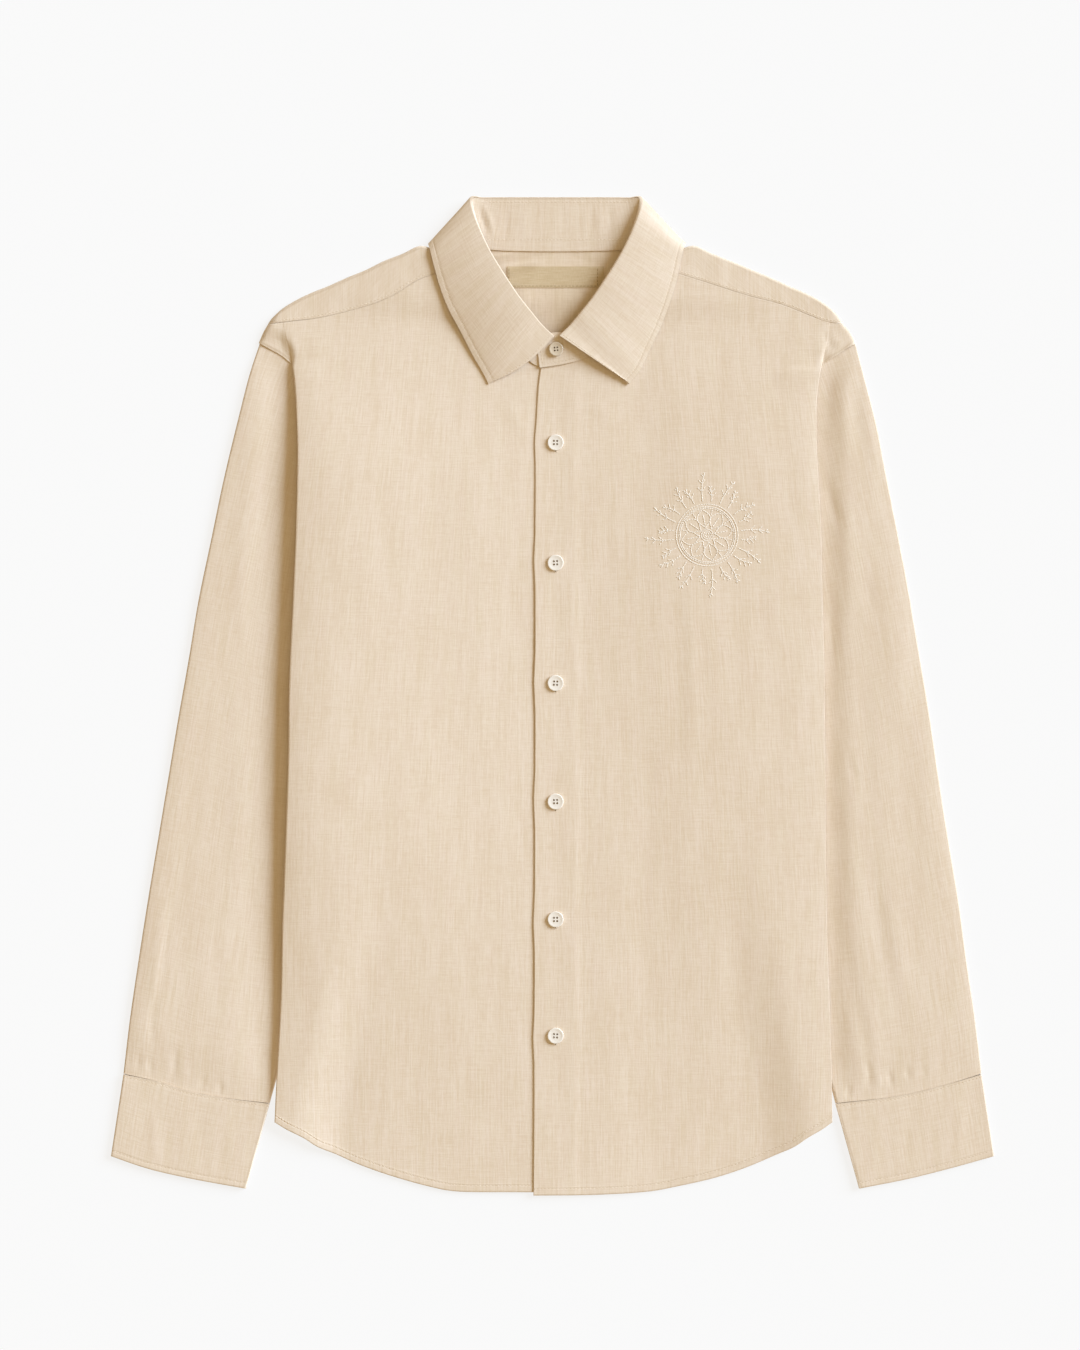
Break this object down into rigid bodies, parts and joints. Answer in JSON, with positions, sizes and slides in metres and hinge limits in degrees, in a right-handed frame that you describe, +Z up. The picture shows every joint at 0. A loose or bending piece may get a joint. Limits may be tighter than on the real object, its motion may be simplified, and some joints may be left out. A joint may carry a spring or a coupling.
{
  "type": "long-sleeved linen shirt laid flat",
  "caption": "Linen shirt with turned-down collar, yoke, buttoned front and cuffs, laid flat on its back with the sleeves down, to rest on a surface",
  "frame": {"origin": "centre of the bounding box in X and Y, on the surface that the shirt lies on", "axes": "+Z up out of the shirt's front, +Y from hem to collar, +X towards the wearer's left sleeve"},
  "size_m": [0.706, 0.7996, 0.0183],
  "materials": {
    "linen": "plain-woven linen, washed, matt",
    "label": "smooth woven tape",
    "button": "turned, soft polish",
    "thread": "twisted off-white embroidery and sewing thread"
  },
  "bodies": {
    "root": {"back": "linen", "yoke": "linen", "front_right": "linen", "front_left": "linen", "sleeve_right": "linen", "sleeve_left": "linen", "cuff_right": "linen", "cuff_left": "linen", "collar_stand": "linen", "collar_leaf": "linen", "label": "label", "button_1": "button", "button_2": "button", "button_3": "button", "button_4": "button", "button_5": "button", "button_6": "button", "button_stand": "button"}
  },
  "joints": []
}
